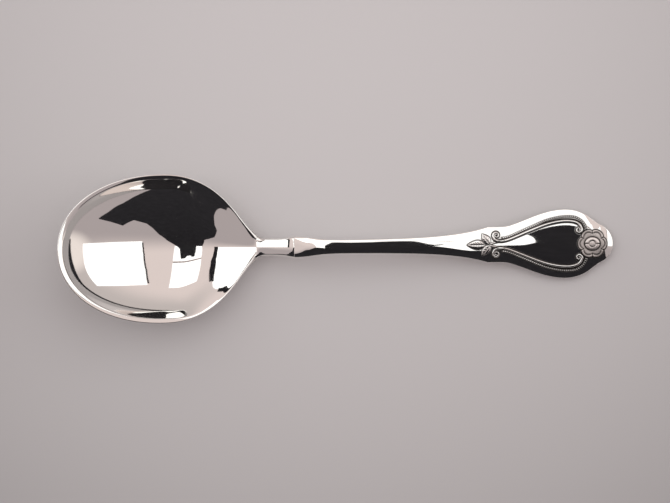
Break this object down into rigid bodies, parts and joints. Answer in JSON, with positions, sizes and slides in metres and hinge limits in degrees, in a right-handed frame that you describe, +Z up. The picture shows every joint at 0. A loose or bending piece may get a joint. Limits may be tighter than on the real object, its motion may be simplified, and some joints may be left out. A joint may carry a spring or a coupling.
{
  "type": "serving spoon",
  "caption": "Polished silver serving spoon: deep oval bowl with a flat rim, slim neck and tang set in a hollow handle with scrolls and a rose",
  "frame": {"origin": "On the table under the middle of the spoon's length, on its plane of symmetry", "axes": "+X runs along the spoon from the tip of the bowl to the end of the handle, +Z is up out of the open bowl, Y is square to the plane of symmetry"},
  "size_m": [0.21, 0.0562, 0.0276],
  "materials": {
    "bowl_silver": "polished silver",
    "handle_silver": "polished silver with dark patina in the recesses",
    "cement": "matt"
  },
  "bodies": {
    "root": {"bowl": "bowl_silver", "handle_front": "handle_silver", "handle_back": "handle_silver", "handle_cement": "cement"}
  },
  "joints": []
}
